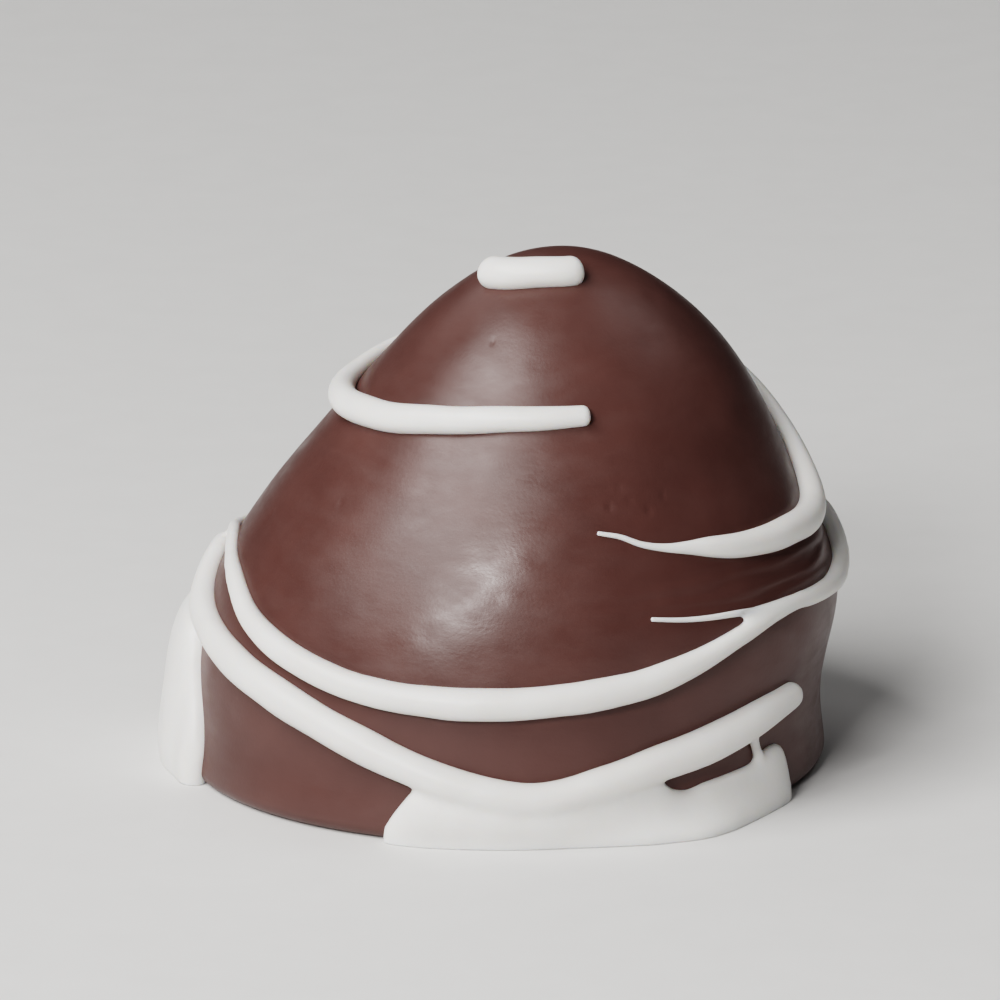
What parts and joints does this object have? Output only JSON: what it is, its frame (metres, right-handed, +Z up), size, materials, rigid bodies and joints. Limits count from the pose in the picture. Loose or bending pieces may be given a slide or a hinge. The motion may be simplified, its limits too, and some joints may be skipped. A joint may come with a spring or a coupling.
{
  "type": "chocolate coated strawberry",
  "caption": "Strawberry dipped in dark chocolate and drizzled with white chocolate, standing tip up on its flat foot.",
  "frame": {"origin": "centre of the flat foot that the berry stands on", "axes": "+Z up from the foot to the tip, -Y towards the front, +X to the right as seen from the front"},
  "size_m": [0.045, 0.0414, 0.0338],
  "materials": {
    "dark_chocolate": "set dark chocolate coat, satin, slightly red brown, with faint dulling and small dimples",
    "white_chocolate": "set white chocolate, creamy off-white, softly glossy on rounded beads"
  },
  "bodies": {
    "root": {"coated_berry": "dark_chocolate", "drizzle_tip": "white_chocolate", "drizzle_crown": "white_chocolate", "drizzle_back": "white_chocolate", "drizzle_belt": "white_chocolate"}
  },
  "joints": []
}
